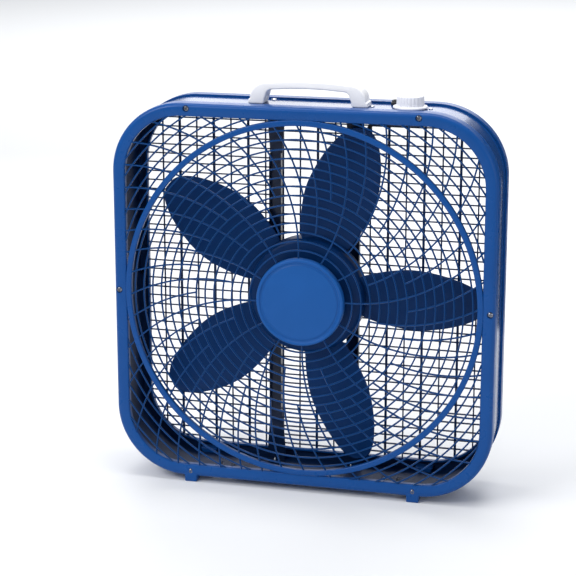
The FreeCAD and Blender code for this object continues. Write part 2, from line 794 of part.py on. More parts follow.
def make_rotor_core():
    half = "dims.stack_half"
    inner = "dims.shaft_round"
    points = ((inner, f"-({half} + 1)"), ("8", f"-({half} + 1)"), ("8", f"-{half}"), ("14", f"-{half}"),
              ("14", f"-({half} + 1.5)"), ("23.5", f"-({half} + 1.5)"), ("23.5", f"-{half}"),
              ("dims.core_round", f"-{half}"), ("dims.core_round", half), ("23.5", half),
              ("23.5", f"({half} + 1.5)"), ("14", f"({half} + 1.5)"), ("14", half), ("8", half),
              ("8", f"({half} + 1)"), (inner, f"({half} + 1)"))
    return turned("rotor_core", from_middle(points, 1))


def make_shaft():
    along = Rotation(Vector(1, 0, 0), -90)
    rod = solid("Cylinder", "shaft_rod", y="dims.shaft_front", turn=along, Radius="dims.shaft_round",
                Height="dims.shaft_back - dims.shaft_front")
    flat = solid("Box", "shaft_flat_cutter", x="-5", y="dims.shaft_front - 1",
                 z="dims.shaft_round - dims.shaft_flat", Length="10", Width="15", Height="5")
    shaft = cut("motor_shaft", rod, flat)
    place(shaft)
    return keep(shaft, "motor_shaft")


def make_motor_fasteners():
    middle = value("dims.motor_middle")
    reach = value("dims.bolt_circle") * math.sqrt(0.5)
    round_, half = value("dims.bolt_round"), 17.6
    bolts, nuts = [], []
    for x in (-reach, reach):
        for z in (-reach, reach):
            bolts.append(((x, middle - half, z), (0, -1, 0)))
            nuts.append(((x, middle + half, z), (0, 1, 0)))
    bolt = screw(round_, 2 * half + 3.6, 3, 2)
    free_shape("motor_through_bolts", repeated(bolt, bolts))
    free_shape("through_bolt_nuts", repeated(hex_nut(6, round_ + 0.02, 2.6), nuts))
    ear, back = value("dims.ear_front"), value("dims.strut_front") + value("dims.strut_sheet")
    heads, tails = [], []
    for x in (-1, 1):
        for z in (-1, 1):
            spot = (x * value("dims.strut_x"), z * value("dims.motor_screw_up"))
            heads.append(((spot[0], ear, spot[1]), (0, -1, 0)))
            tails.append(((spot[0], back, spot[1]), (0, 1, 0)))
    free_shape("motor_mount_screws", repeated(screw(2, 8, 3.8, 2.4), heads))
    free_shape("motor_mount_nuts", repeated(hex_nut(7, 2.02, 3), tails))


# ---- propeller ------------------------------------------------------------------------------------------

def blade_section(x, half_chord, drop):
    # a thin cambered plate across the blade at distance x from the axis; its +z edge is nearer the front
    middle, camber = value("dims.blade_middle"), value("dims.blade_camber") * half_chord / 48
    thick = value("dims.blade_thickness")

    def at(share, lift):
        curve = camber * (1 - share ** 2)
        return Vector(x, middle - share * drop / 2 + curve + lift, share * half_chord)

    edge = thick * 0.3
    front = Part.Arc(at(-1, -edge), at(0, -thick / 2), at(1, -edge)).toShape()
    back = Part.Arc(at(1, edge), at(0, thick / 2), at(-1, edge)).toShape()
    ends = [Part.makeLine(at(1, -edge), at(1, edge)), Part.makeLine(at(-1, edge), at(-1, -edge))]
    return Part.Wire([front, ends[0], back, ends[1]])


def make_blade():
    tip = value("dims.blade_tip")
    # distance from the axis, half of the chord, and how far the blade drops from front to back
    stations = ((70, 30, 24), (105, 41.5, 31), (145, 47.5, 34), (185, 41, 28), (212, 32, 21),
                (229, 24, 15), (tip - 4, 14.5, 9), (tip, 6, 4))
    wires = [blade_section(*station) for station in stations]
    blade = Part.makeLoft(wires, True, False)
    return blade.cut(drum(value("dims.hub_round") - 1, 0, value("dims.body_depth")))


def make_propeller():
    body = new_body("propeller_hub")
    front, back, wall = "dims.hub_front", "dims.hub_back", "dims.hub_wall"
    skin, bore = "dims.hub_round", "dims.shaft_round + 0.02"
    revolve(body, (("0", front), (f"{skin} - 9", front), (f"{skin} - 3", f"{front} + 2"),
                   (skin, f"{front} + 7"), (skin, back), (f"{skin} - {wall}", back),
                   (f"{skin} - {wall}", f"{front} + 8"), (f"{skin} - 6", f"{front} + 3.5"),
                   ("dims.boss_round + 1", f"{front} + 3"), ("dims.boss_round", f"{front} + 4"),
                   ("dims.boss_round", "52.8"), (bore, "52.8"), (bore, "dims.shaft_front - 0.5"),
                   ("0", "dims.shaft_front - 0.5")))
    doc.recompute()
    blades = []
    for i in range(5):
        blade = make_blade()
        blade.rotate(Vector(), Vector(0, 1, 0), -72 * i)
        blades.append(blade)
    shape = body.Shape.multiFuse(blades)
    return free_shape("propeller", shape)


def make_hub_clip():
    boss = value("dims.boss_round") + 0.05
    ring = drum(boss + 1.2, 45, 50).cut(drum(boss, 45, 50))
    gap = block((-1.5, 44, 5), (1.5, 51, 20))
    ears = [block((x, 45, boss + 0.4), (x + 1.2, 50, boss + 5)) for x in (-2.7, 1.5)]
    return free_shape("hub_clip", ring.cut(gap).multiFuse(ears).removeSplitter())


# ---- handle, knob and switch ----------------------------------------------------------------------------

def make_handle():
    body = new_body("handle")
    foot, grip = "dims.handle_half", "dims.handle_grip_half"
    top, under = "dims.handle_height", "dims.handle_under"
    right = ((grip, "0"), (foot, "0"), (f"{foot} - 3", "13"), (f"{foot} - 20", f"{top} - 2"))
    left = tuple((f"-({x})", z) for x, z in reversed(right))
    arch = outline(sketch(body, "XZ_Plane", "dims.handle_front"),
                   right + (("0", top),) + left + ((f"-({grip} - 6)", f"{under} - 1.5"), ("0", under),
                                                   (f"{grip} - 6", f"{under} - 1.5")))
    last = pad(arch, "dims.handle_width", True)
    last = round_edges(body, last, "24", lambda e: is_across(e) and e.BoundBox.ZMin > 12
                       and abs(e.BoundBox.XMin) > 58)
    last = round_edges(body, last, "7", lambda e: is_across(e) and 15 < e.BoundBox.ZMin < 22
                       and 50 < abs(e.BoundBox.XMin) < 56)
    round_edges(body, last, "2.6", lambda e: not is_across(e) and e.BoundBox.ZMax > 0.5
                and e.BoundBox.YLength < 0.01)
    pilots = sketch(body, "XY_Plane")
    for side in (-1, 1):
        circle(pilots, f"{side} * dims.handle_screw_x", "dims.handle_front + dims.handle_width / 2", "1.5")
    pocket(pilots, "11", True)
    place(body, z=top_z)
    return keep(body, "handle")


def is_across(edge):
    return edge.BoundBox.XLength < 0.01 and edge.BoundBox.ZLength < 0.01


def make_knob():
    body = new_body("speed_knob")
    skirt, grip, tall = "dims.skirt_round", "dims.knob_round", "dims.knob_height"
    bore = "dims.spindle_round + 0.05"
    revolve(body, (("0", tall), (f"{grip} - 2.2", tall), (f"{grip} - 0.8", f"{tall} - 1.4"),
                   (grip, "4.4"), (f"{skirt} - 0.6", "3.7"), (skirt, "2.8"), (skirt, "0.8"), ("12", "0.8"),
                   ("12", "6"), (bore, "6"), (bore, "13.6"), ("0", "13.6")), "XZ_Plane")
    flute = circle(sketch(body, "XY_Plane", f"{tall} + 1"), f"{grip} + 0.7", "0", "1.5")
    around_axis(body, pocket(flute, f"{tall} - 3.4"), 24, "Z_Axis")
    pointer = sketch(body, "XY_Plane", tall)
    rectangle(pointer, "-1", f"-{grip} + 4", "1", "-4")
    pad(pointer, "0.6")
    place(body, "dims.knob_x", knob_y, top_z)
    return keep(body, "speed_knob")


def make_spindle():
    rod = solid("Cylinder", "spindle_rod", z="-14", Radius="dims.spindle_round", Height="27.4")
    flat = solid("Box", "spindle_flat_cutter", x="-4", y="dims.spindle_round - 0.8", z="5",
                 Length="8", Width="4", Height="12")
    spindle = cut("switch_spindle", rod, flat)
    place(spindle, "dims.knob_x", knob_y, top_z)
    keep(spindle, "switch_spindle")
    wheel = drum(11, -12.5, -8.5, along="z").cut(drum(value("dims.spindle_round"), -12.5, -8.5, along="z"))
    for step in range(8):
        notch = drum(1.6, -12.5, -8.5, (11.4, 0), "z")
        notch.rotate(Vector(), Vector(0, 0, 1), 45 * step + 22.5)
        wheel = wheel.cut(notch)
    return free_shape("switch_contact_wheel", wheel, "dims.knob_x", knob_y, top_z)


def make_switch():
    half, deep = value("dims.switch_half"), value("dims.switch_height")
    sheet_below = -value("dims.sheet_thickness") - 0.1
    low = sheet_below - deep
    case = block((-half, -half, low), (half, half, sheet_below))
    case = case.fuse(drum(4.7, sheet_below, 3.4, along="z"))
    bore = value("dims.spindle_round") + 0.05
    case = case.cut(drum(bore, low, 3.5, along="z")).cut(drum(12.4, low, sheet_below - 3, along="z"))
    free_shape("switch_body", case.removeSplitter(), "dims.knob_x", knob_y, top_z)
    base = block((-half, -half, low - 2), (half, half, low))
    terminals = []
    for x in (-9, -3, 3, 9):
        terminals.append(block((x - 0.4, -3.2, low - 7), (x + 0.4, 3.2, low - 1)))
    base = base.cut(Part.makeCompound(terminals))
    free_shape("switch_base", base, "dims.knob_x", knob_y, top_z)
    free_shape("switch_terminals", Part.makeCompound(terminals), "dims.knob_x", knob_y, top_z)
    free_shape("switch_nut", hex_nut(14, 4.72, 2.6), "dims.knob_x", knob_y, top_z)


def make_cover():
    left, right = value("dims.cover_left"), value("dims.cover_right")
    front, back = value("dims.cover_front"), value("dims.cover_back")
    tall, wall = value("dims.cover_height"), value("dims.sheet_thickness")
    top = -wall - 0.05
    shell = block((left, front, top - tall), (right, back, top))
    shell = shell.cut(block((left + wall, front + wall, top - tall + wall), (right - wall, back - wall, top)))
    depth = value("dims.knob_depth")
    first, last = value("dims.cover_screw_left"), value("dims.cover_screw_right")
    for x0, x1, x in ((first - 4, left + wall, first), (right - wall, last + 4, last)):
        tab = block((x0, depth - 8, top - wall), (x1, depth + 8, top)).cut(drum(1.5, top - 2, top, (x, depth), "z"))
        shell = shell.fuse(tab)
    shell = shell.cut(block((left + wall, front + wall, top - tall + wall), (right - wall, back - wall, top)))
    entry = Part.makeCylinder(value("dims.lead_round") + 1.2, 4, Vector(left - 2, 79, top - 15.9), Vector(1, 0, 0))
    free_shape("switch_cover", shell.cut(entry).removeSplitter(), z=top_z)
    can = block((left + 3, front + 3, top - 17), (left + 27, front + 31, top - 0.2))
    can = can.makeFillet(3, [e for e in can.Edges if e.BoundBox.ZLength > 10])
    free_shape("run_capacitor", can, z=top_z)
    places = [((x, depth, 0), (0, 0, 1)) for x in (first, last)]
    free_shape("cover_screws", repeated(screw(1.45, 5, 2.8, 1.8), places), z=top_z)


# ---- motor lead and gland -------------------------------------------------------------------------------

def lead_points():
    # from the motor's rear shield, behind the right strut, up to the switch cover
    strut, top = value("dims.strut_x"), value(band_half) - value("dims.sheet_thickness") - 14.05
    behind = value("dims.strut_front") + value("dims.strut_sheet") + 4.2
    return [Vector(30.4, 87.5, 36.2), Vector(38.5, 88.6, 46.5), Vector(48, 90.3, 58), Vector(strut, behind, 74),
            Vector(strut - 0.2, behind + 0.1, 116), Vector(strut, behind, 160), Vector(strut + 2, behind - 0.1, 188),
            Vector(strut + 8.5, behind - 0.1, 205), Vector(strut + 16.5, behind - 0.9, 220),
            Vector(strut + 24, behind - 6.9, top - 10.5), Vector(value("dims.cover_left") - 0.5, 79, top - 2),
            Vector(value("dims.cover_left") + 10.5, 76.5, top + 0.3)]


def rounded_path(points):
    # straight runs joined by tangent arcs, each as large as its two runs allow
    edges, start = [], points[0]
    for before, corner, after in zip(points, points[1:], points[2:]):
        come, leave = (corner - before), (after - corner)
        run = min(come.Length, leave.Length)
        come.normalize()
        leave.normalize()
        turn = math.acos(max(-1, min(1, come.dot(leave))))
        radius = 0.45 * run / math.tan(turn / 2)
        reach = 0.45 * run
        first, second = corner - come * reach, corner + leave * reach
        across = leave - come
        across.normalize()
        middle = corner + across * (math.hypot(reach, radius) - radius)
        print(f"lead bend at {corner.x:.0f}, {corner.y:.0f}, {corner.z:.0f}: radius {radius:.0f}")
        edges.append(Part.makeLine(start, first))
        edges.append(Part.Arc(first, middle, second).toShape())
        start = second
    edges.append(Part.makeLine(start, points[-1]))
    return Part.Wire(edges)


def make_lead():
    points = lead_points()
    path = rounded_path(points)
    radius = value("dims.lead_round")
    profile = Part.Wire(Part.makeCircle(radius, points[0], points[1] - points[0]))
    tube = Part.Wire(path).makePipeShell([profile], True, False)
    expected = math.pi * radius ** 2 * path.Length
    print(f"lead length {path.Length:.1f} mm, volume {tube.Volume:.0f} of {expected:.0f}")
    free_shape("motor_lead", tube)
    clips = []
    strut = value("dims.strut_x")
    web = value("dims.strut_front") + value("dims.strut_sheet")
    for height in (95, 146):
        centre = (strut, web + 4.2)
        loop = drum(4.1, height - 4, height + 4, centre, "z")
        foot = block((strut, web + 0.05, height - 4), (strut + 7.5, web + 1.1, height + 4))
        opening = drum(radius + 0.3, height - 5, height + 5, centre, "z")
        clips.append(loop.fuse(foot).cut(opening).removeSplitter())
    free_shape("lead_clips", Part.makeCompound(clips))


def make_gland():
    head, hole, bore = value("dims.gland_head"), value("dims.gland_hole") - 0.1, value("dims.cord_bore")
    thick = value("dims.sheet_thickness")
    body = drum(head, 0.02, 3.5, along="z").fuse(block((-hole, -hole, -8), (hole, hole, 0.1)))
    body = body.fuse(Part.makeCone(head - 1, bore + 1.4, 3, Vector(0, 0, 3.5)))
    ridge = hole + 0.9
    body = body.fuse(block((-ridge, -ridge, -thick - 1.9), (ridge, ridge, -thick - 0.1)))
    body = body.cut(drum(bore, -9, 8, along="z"))
    free_shape("cord_gland", body.removeSplitter(), "dims.gland_x", f"{front_y} + dims.gland_depth", top_z)


# ---- screws through the case ----------------------------------------------------------------------------

def make_case_screws():
    depth, seat = value("dims.body_depth"), value("dims.dimple_depth")
    bezel_screw = screw(1.72, 11, 3.6, 1.8)
    front = [((x, seat, z), (0, -1, 0)) for x, z in screw_places]
    rear = [((x, depth - seat, z), (0, 1, 0)) for x, z in screw_places]
    free_shape("front_bezel_screws", repeated(bezel_screw, front))
    free_shape("rear_bezel_screws", repeated(bezel_screw, rear))
    reach = value(band_half)
    strut_places = [((x * value("dims.strut_x"), value("dims.strut_screw_depth"), up * reach), (0, 0, up))
                    for x in (-1, 1) for up in (-1, 1)]
    free_shape("strut_screws", repeated(screw(1.62, 7, 3.4, 2), strut_places))
    middle = value("dims.handle_front") + value("dims.handle_width") / 2
    under = [((x * value("dims.handle_screw_x"), middle, reach - value("dims.sheet_thickness")), (0, 0, -1))
             for x in (-1, 1)]
    free_shape("handle_screws", repeated(screw(1.48, 11, 3.6, 2.2), under))


# ---- build ----------------------------------------------------------------------------------------------

make_band()
make_bezel("front_bezel")
make_bezel("rear_bezel", y=f"{front_y} + dims.body_depth", turn=Rotation(Vector(0, 0, 1), 180))
make_front_guard()
make_rear_guard()
turned("centre_badge", (("0", "dims.guard_inset - 0.05"), ("0", "-2.8"), ("51", "-2.8"), ("52.2", "-1.9"),
                        ("54.4", "-1.9"), ("55.6", "-dims.badge_proud + 0.3"), ("56.4", "-dims.badge_proud"),
                        ("58.8", "-dims.badge_proud"), ("dims.hub_plate_round - 0.2", "-2.4"),
                        ("dims.hub_plate_round - 0.2", "dims.guard_inset - 0.05")))
make_strut("motor_strut_left", "-dims.strut_x")
make_strut("motor_strut_right", "dims.strut_x")
make_shield("motor_front_shield", -1, False)
make_shield("motor_rear_shield", 1, True)
make_stator()
make_windings()
make_bearings()
make_rotor_core()
make_shaft()
make_motor_fasteners()
make_propeller()
make_hub_clip()
make_handle()
make_knob()
make_spindle()
make_switch()
make_cover()
make_lead()
make_gland()
make_case_screws()

doc.recompute()
for thing in doc.Objects:
    if "Invalid" in thing.State or "Error" in thing.State:
        raise RuntimeError(f"{thing.Label} failed: {thing.State}")
for piece in sub_parts:
    shape = piece.Shape
    if shape.isNull() or not shape.isValid():
        raise RuntimeError(f"{piece.Label} is not a valid shape")
    if not shape.Solids:
        raise RuntimeError(f"{piece.Label} has no solid")
    shape.exportStep(f"parts/{piece.Label}.step")
print(f"{len(sub_parts)} sub-parts written")
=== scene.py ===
import math
import bpy
from mathutils import Matrix, Vector


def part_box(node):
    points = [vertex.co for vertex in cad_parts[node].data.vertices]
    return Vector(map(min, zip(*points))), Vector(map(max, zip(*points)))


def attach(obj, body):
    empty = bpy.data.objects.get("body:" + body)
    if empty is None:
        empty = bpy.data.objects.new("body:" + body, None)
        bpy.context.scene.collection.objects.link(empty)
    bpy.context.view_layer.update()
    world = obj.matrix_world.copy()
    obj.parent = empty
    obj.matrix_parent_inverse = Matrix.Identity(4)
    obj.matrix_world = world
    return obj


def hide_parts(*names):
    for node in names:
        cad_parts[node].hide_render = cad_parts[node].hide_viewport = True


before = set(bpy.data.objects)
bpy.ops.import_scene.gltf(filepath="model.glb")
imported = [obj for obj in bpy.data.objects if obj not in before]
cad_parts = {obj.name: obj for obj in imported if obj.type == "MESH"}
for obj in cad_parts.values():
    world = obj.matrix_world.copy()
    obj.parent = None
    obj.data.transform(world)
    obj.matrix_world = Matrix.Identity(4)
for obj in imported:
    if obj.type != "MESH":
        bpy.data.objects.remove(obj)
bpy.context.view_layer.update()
mm = 0.001

# places that the frame fixes
bezelLow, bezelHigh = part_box("front_bezel")
half = (bezelHigh.x - bezelLow.x) / 2
axisZ = bezelHigh.z - half
frontY = bezelLow.y


def report(stage):
    print("box fan:", stage)


def deselect():
    if bpy.context.object and bpy.context.object.mode != "OBJECT":
        bpy.ops.object.mode_set(mode="OBJECT")
    bpy.ops.object.select_all(action="DESELECT")


def choose(*things):
    deselect()
    for thing in things:
        thing.select_set(True)
    bpy.context.view_layer.objects.active = things[0]


def settle(thing):
    choose(thing)
    bpy.ops.object.transform_apply(location=True, rotation=True, scale=True)
    return thing


def edit(thing):
    choose(thing)
    bpy.ops.object.mode_set(mode="EDIT")
    bpy.ops.mesh.select_all(action="SELECT")


def finishEdit():
    bpy.ops.object.mode_set(mode="OBJECT")


def traced(points):
    # one corner of a small plane, drawn out from point to point
    deselect()
    bpy.ops.mesh.primitive_plane_add(size=0.01, location=points[0])
    thing = settle(bpy.context.object)
    edit(thing)
    bpy.ops.mesh.merge(type="CENTER")
    for before, after in zip(points, points[1:]):
        bpy.ops.mesh.extrude_vertices_move(TRANSFORM_OT_translate={"value": after - before})
    finishEdit()
    return thing


def weld(thing):
    edit(thing)
    bpy.ops.mesh.remove_doubles(threshold=0.00002)
    bpy.ops.mesh.normals_make_consistent(inside=False)
    finishEdit()
    return thing


def lathed(points, steps, centre, axis=(0, 1, 0)):
    # an outline spun right round the axis through centre
    thing = traced(points)
    edit(thing)
    bpy.ops.mesh.spin(steps=steps, angle=2 * math.pi, center=centre, axis=axis)
    return weld(thing)


def joined(name, things):
    choose(*things)
    if len(things) > 1:
        bpy.ops.object.join()
    piece = bpy.context.object
    piece.name = name
    piece.data.name = name
    return settle(piece)


def twin(thing, matrix):
    copy = thing.copy()
    copy.data = thing.data.copy()
    bpy.context.collection.objects.link(copy)
    copy.matrix_world = matrix @ thing.matrix_world
    return settle(copy)


def modify(thing, kind, **settings):
    choose(thing)
    bpy.ops.object.modifier_add(type=kind)
    modifier = thing.modifiers[-1]
    for name, setting in settings.items():
        setattr(modifier, name, setting)
    bpy.ops.object.modifier_apply(modifier=modifier.name)


def selectFaces(thing, wanted):
    # from object mode: only the wanted faces are left selected
    for face in thing.data.polygons:
        face.select = wanted(face)
    for edge in thing.data.edges:
        edge.select = False
    for vertex in thing.data.vertices:
        vertex.select = False
    for face in thing.data.polygons:
        if face.select:
            for index in face.vertices:
                thing.data.vertices[index].select = True


def painting(thing, material):
    thing.data.materials.clear()
    thing.data.materials.append(material)
    return thing


def finished(piece, body, material, nodes, degrees=35):
    choose(piece)
    bpy.ops.object.shade_smooth_by_angle(angle=math.radians(degrees))
    if material:
        painting(piece, material)
    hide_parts(*nodes)
    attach(piece, body)
    report(piece.name + " finished")


def fromAxis(x, depth, z):  # millimetres from the fan's axis, depth behind the bezel's face
    return Vector((x * mm, frontY + depth * mm, axisZ + z * mm))


def quarter(x, z, radius, start, steps=6):
    # points of a quarter circle about x, z, from start degrees on
    turns = [math.radians(start + 90 * i / steps) for i in range(steps + 1)]
    return [(x + radius * math.cos(turn), z + radius * math.sin(turn)) for turn in turns]


# ---- materials ----

class Signal:  # a shader socket that can be added, multiplied and mixed
    def __init__(self, tree, socket=None):
        self.tree = tree
        self.socket = socket

    def node(self, kind, settings=None, inputs=None, output=0):
        made = self.tree.nodes.new("ShaderNode" + kind)
        for name, setting in (settings or {}).items():
            if name == "stops":
                for stop, (place, tint) in zip(made.color_ramp.elements, setting):
                    stop.position = place
                    stop.color = tint
            else:
                setattr(made, name, setting)
        for name, given in (inputs or {}).items():
            if isinstance(given, Signal):
                self.tree.links.new(given.socket, made.inputs[name])
            else:
                made.inputs[name].default_value = given
        return Signal(self.tree, made.outputs[output])

    def sum(self, operation, first, second):
        return self.node("Math", {"operation": operation}, {0: first, 1: second})

    def __add__(self, other):
        return self.sum("ADD", self, other)

    def __radd__(self, other):
        return self.sum("ADD", other, self)

    def __sub__(self, other):
        return self.sum("SUBTRACT", self, other)

    def __rsub__(self, other):
        return self.sum("SUBTRACT", other, self)

    def __mul__(self, other):
        return self.sum("MULTIPLY", self, other)

    def __rmul__(self, other):
        return self.sum("MULTIPLY", other, self)


def blank(name):
    material = bpy.data.materials.new(name)
    material.use_nodes = True
    tree = material.node_tree
    shader = tree.nodes["Principled BSDF"]
    return material, Signal(tree), shader


def noise(start, place, scale, detail=3.0):
    return start.node("TexNoise", {}, {"Vector": place, "Scale": scale, "Detail": detail}, "Fac")


def ramp(start, signal, low, high):
    limits = {"Value": signal, "From Min": low, "From Max": high}
    return start.node("MapRange", {"clamp": True}, limits, "Result")


def mixColours(start, share, first, second):
    return start.node("Mix", {"data_type": "RGBA"}, {0: share, 6: first, 7: second}, 2)


def feed(start, shader, name, signal):
    if isinstance(signal, Signal):
        start.tree.links.new(signal.socket, shader.inputs[name])
    else:
        shader.inputs[name].default_value = signal


def colour(red, green, blue):
    return (red, green, blue, 1.0)


def moulded(name, base, shade, rough, grain, dust=0.05, gloss=0.5):
    # moulded plastic: slow colour drift, fine spark-eroded grain, a little dust where it can settle
    material, start, shader = blank(name)
    place = start.node("TexCoord", {}, {}, "Object")
    drift = ramp(start, noise(start, place, 9.0), 0.35, 0.65)
    cloud = ramp(start, noise(start, place, 46.0, 5.0), 0.3, 0.7)
    tone = mixColours(start, drift * 0.6 + cloud * 0.4, base, shade)
    normal = start.node("NewGeometry", {}, {}, "Normal")
    upward = start.node("SeparateXYZ", {}, {0: normal}, "Z")
    settled = ramp(start, upward, 0.55, 1.0) * ramp(start, noise(start, place, 120.0, 6.0), 0.35, 0.75) * dust
    tone = mixColours(start, settled, tone, colour(0.55, 0.57, 0.6))
    feed(start, shader, "Base Color", tone)
    feed(start, shader, "Roughness", rough - 0.05 + cloud * 0.1 + settled * 0.4)
    fine = noise(start, place, grain, 2.0)
    height = fine + cloud * 0.4
    bump = start.node("Bump", {}, {"Strength": 0.12, "Distance": 0.0002, "Height": height}, "Normal")
    feed(start, shader, "Normal", bump)
    feed(start, shader, "Specular IOR Level", gloss)
    return material


def painted(name, base, shade, rough, shadedInside=None):
    # baked enamel on sheet steel: orange peel, a little chalking, and on faces turned towards the fan's axis
    # a darker colour that is painted shade, with a duller finish
    material, start, shader = blank(name)
    place = start.node("TexCoord", {}, {}, "Object")
    peel = noise(start, place, 620.0, 2.0)
    cloud = ramp(start, noise(start, place, 14.0, 4.0), 0.3, 0.7)
    scuff = ramp(start, noise(start, place, 210.0, 8.0), 0.66, 0.78)
    tone = mixColours(start, cloud, base, shade)
    tone = mixColours(start, scuff * 0.06, tone, colour(0.2, 0.26, 0.4))
    gloss = 1 - ramp(start, noise(start, place, 5.0), 0.7, 0.8) * 0.2
    # faces looking in towards the axis take the darker colour: painted shade of the band's inside
    if shadedInside:
        outward = start.node("VectorMath", {"operation": "SUBTRACT"}, {0: place, 1: (0, 0, axisZ)}, "Vector")
        normal = start.node("NewGeometry", {}, {}, "Normal")
        facing = start.node("VectorMath", {"operation": "DOT_PRODUCT"}, {0: outward, 1: normal}, "Value")
        outside = ramp(start, facing, -0.01, 0.01)
        tone = mixColours(start, outside, shadedInside, tone)
        gloss = gloss * outside
    feed(start, shader, "Base Color", tone)
    feed(start, shader, "Roughness", rough + cloud * 0.06 + scuff * 0.1 + (1 - gloss) * 0.35)
    feed(start, shader, "Coat Weight", gloss * 0.3)
    bump = start.node("Bump", {}, {"Strength": 0.18, "Distance": 0.0003, "Height": peel}, "Normal")
    feed(start, shader, "Normal", bump)
    feed(start, shader, "Coat Roughness", 0.12)
    feed(start, shader, "Specular IOR Level", 0.22)
    return material


def metal(name, base, rough, brush, tarnish):
    # plated or bare metal: brushed streaks along the depth, and dull patches
    material, start, shader = blank(name)
    place = start.node("TexCoord", {}, {}, "Object")
    stretched = start.node("Mapping", {}, {"Vector": place, "Scale": (1.0, 0.12, 1.0)}, "Vector")
    streak = noise(start, stretched, brush, 3.0)
    dull = ramp(start, noise(start, place, 70.0, 6.0), 0.45, 0.7)
    feed(start, shader, "Base Color", mixColours(start, dull * 0.6, base, tarnish))
    feed(start, shader, "Roughness", rough + streak * 0.12 + dull * 0.15)
    feed(start, shader, "Metallic", 1.0)
    bump = start.node("Bump", {}, {"Strength": 0.15, "Distance": 0.0002, "Height": streak}, "Normal")
    feed(start, shader, "Normal", bump)
    return material


def ribbed(name, base, shade, pitch, metallic, rough):
    # laminations or wound wire: fine bands stacked along the depth
    material, start, shader = blank(name)
    place = start.node("TexCoord", {}, {}, "Object")
    bands = start.node("TexWave", {"bands_direction": "Y"}, {"Vector": place, "Scale": 0.314 / pitch,
                                                           "Distortion": 0.4, "Detail": 1.0}, "Fac")
    cloud = ramp(start, noise(start, place, 60.0, 4.0), 0.3, 0.7)
    feed(start, shader, "Base Color", mixColours(start, bands * 0.5 + cloud * 0.5, base, shade))
    feed(start, shader, "Roughness", rough + bands * 0.15)
    feed(start, shader, "Metallic", metallic)
    bump = start.node("Bump", {}, {"Strength": 0.5, "Distance": 0.0004, "Height": bands}, "Normal")
    feed(start, shader, "Normal", bump)
    return material


caseBlue = moulded("caseBlue", colour(0.004, 0.07, 0.28), colour(0.003, 0.061, 0.25),
                   0.3, 900.0, 0.02, 0.2)
# the front guard's bars: the case blue darkened as painted shade of the backlit bars
shadedBarBlue = moulded("shadedBarBlue", colour(0.003, 0.046, 0.18), colour(0.002, 0.04, 0.155),
                  0.36, 900.0, 0.0, 0.2)
bladeNavy = moulded("bladeNavy", colour(0.002, 0.036, 0.15), colour(0.002, 0.03, 0.125),
                    0.36, 800.0, 0.0, 0.14)
guardNavy = moulded("guardNavy", colour(0.002, 0.03, 0.125), colour(0.002, 0.025, 0.105),
                    0.4, 900.0, 0.0, 0.2)
badgeBlue = moulded("badgeBlue", colour(0.005, 0.086, 0.33), colour(0.004, 0.078, 0.3),
                    0.42, 1400.0, 0.01, 0.22)
# the last colour is painted shade for the band's inner faces
enamelBlue = painted("enamelBlue", colour(0.005, 0.058, 0.23), colour(0.004, 0.05, 0.2),
                     0.14, colour(0.001, 0.018, 0.075))
enamelNavy = painted("enamelNavy", colour(0.001, 0.014, 0.055), colour(0.001, 0.011, 0.045), 0.34)
gripWhite = moulded("gripWhite", colour(0.94, 0.94, 0.95), colour(0.9, 0.9, 0.92), 0.3, 900.0, 0.01)
knobWhite = moulded("knobWhite", colour(0.84, 0.85, 0.9), colour(0.79, 0.8, 0.86), 0.28, 1100.0, 0.02)
# dark screw heads: painted shade of the dimples they sit in
screwShadedDark = metal("screwShadedDark", colour(0.2, 0.21, 0.25), 0.12, 700.0, colour(0.06, 0.065, 0.08))
screwZinc = metal("screwZinc", colour(0.62, 0.63, 0.66), 0.24, 700.0, colour(0.4, 0.4, 0.42))
shieldZinc = metal("shieldZinc", colour(0.5, 0.51, 0.53), 0.34, 300.0, colour(0.33, 0.33, 0.34))
springSteel = metal("springSteel", colour(0.42, 0.42, 0.44), 0.26, 500.0, colour(0.25, 0.24, 0.23))
bronze = metal("bronze", colour(0.55, 0.36, 0.16), 0.38, 400.0, colour(0.35, 0.22, 0.1))
terminalBrass = metal("terminalBrass", colour(0.66, 0.55, 0.28), 0.3, 500.0, colour(0.45, 0.36, 0.18))
laminations = ribbed("laminations", colour(0.3, 0.3, 0.32), colour(0.18, 0.18, 0.2), 0.0008, 0.9, 0.36)
copperWire = ribbed("copperWire", colour(0.55, 0.2, 0.07), colour(0.34, 0.11, 0.04), 0.0009, 0.8, 0.3)
blackMould = moulded("blackMould", colour(0.022, 0.022, 0.025), colour(0.016, 0.016, 0.018),
                     0.5, 1000.0, 0.08)
leadSheath = moulded("leadSheath", colour(0.018, 0.018, 0.02), colour(0.012, 0.012, 0.013), 0.42, 700.0, 0.04)
washerFibre = moulded("washerFibre", colour(0.3, 0.17, 0.08), colour(0.22, 0.12, 0.06), 0.7, 500.0, 0.0)
feltWool = moulded("feltWool", colour(0.42, 0.39, 0.32), colour(0.3, 0.28, 0.23), 0.92, 380.0, 0.0)
nylon = moulded("nylon", colour(0.7, 0.7, 0.66), colour(0.62, 0.62, 0.58), 0.45, 900.0, 0.0)

